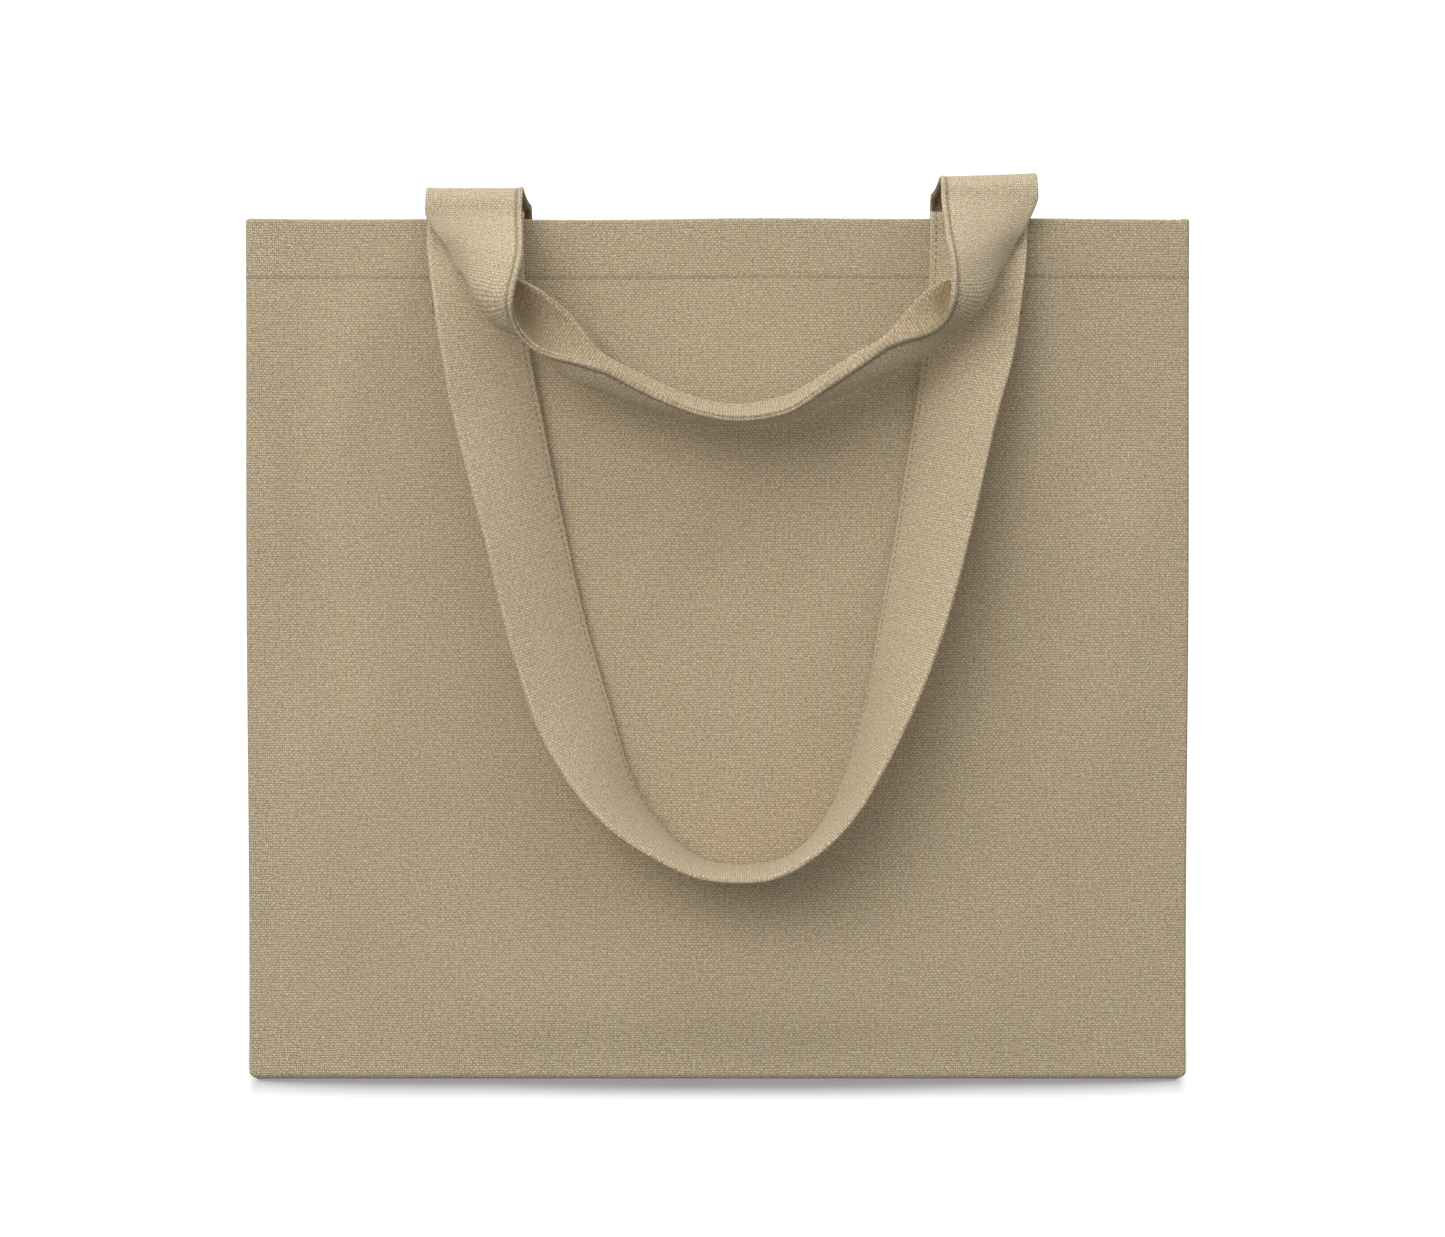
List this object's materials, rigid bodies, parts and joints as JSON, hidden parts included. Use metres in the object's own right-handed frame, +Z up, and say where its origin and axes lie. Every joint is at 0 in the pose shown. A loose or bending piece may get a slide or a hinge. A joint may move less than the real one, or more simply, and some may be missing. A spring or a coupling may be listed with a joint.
{
  "type": "canvas tote bag",
  "caption": "Free-standing open-mouth tote bag of heavy canvas with side gussets, a stitched hem and folded canvas strap handles hanging over the front.",
  "frame": {"origin": "middle of the base's underside, where the bag stands", "axes": "+Z up, -Y towards the front that the handles hang over, +X to the right seen from the front"},
  "size_m": [0.4218, 0.1715, 0.4031],
  "materials": {
    "canvas": "matte",
    "strap_canvas": "matte",
    "thread": "satin"
  },
  "bodies": {
    "bag": {"front_panel": "canvas", "back_panel": "canvas", "left_gusset": "canvas", "right_gusset": "canvas", "base_panel": "canvas", "front_hem": "canvas", "back_hem": "canvas", "left_hem": "canvas", "right_hem": "canvas", "hem_stitching": "thread", "front_left_seam": "canvas", "front_right_seam": "canvas", "back_left_seam": "canvas", "back_right_seam": "canvas", "front_base_seam": "canvas", "back_base_seam": "canvas", "front_handle_left_end": "strap_canvas", "front_handle_right_end": "strap_canvas", "rear_handle_left_end": "strap_canvas", "rear_handle_right_end": "strap_canvas", "front_handle_left_crossed_box": "thread", "front_handle_right_crossed_box": "thread", "rear_handle_left_crossed_box": "thread", "rear_handle_right_crossed_box": "thread"},
    "front_loop": {"front_handle": "strap_canvas", "front_handle_stitching": "thread"},
    "rear_reach": {"rear_handle_left_reach": "strap_canvas", "rear_handle_right_reach": "strap_canvas"},
    "rear_loop": {"rear_handle": "strap_canvas", "rear_handle_stitching": "thread"}
  },
  "joints": [
    {"name": "handles_lift", "type": "hinge", "parent": "bag", "child": "rear_reach", "pos_m": [0, 0.05332, 0.3966], "axis": [-1, 0, 0], "range_deg": [0, 90]},
    {"name": "rear_loop_turn", "type": "hinge", "parent": "rear_reach", "child": "rear_loop", "pos_m": [0, -0.06492, 0.3966], "axis": [-1, 0, 0], "range_deg": [0, 90]},
    {"name": "front_loop_turn", "type": "hinge", "parent": "bag", "child": "front_loop", "pos_m": [0, -0.0591, 0.38703], "axis": [-1, 0, 0], "range_deg": [0, 180]}
  ],
  "couplings": [
    {"joint": "rear_loop_turn", "follows": "handles_lift", "ratio": 1},
    {"joint": "front_loop_turn", "follows": "handles_lift", "ratio": 2}
  ]
}
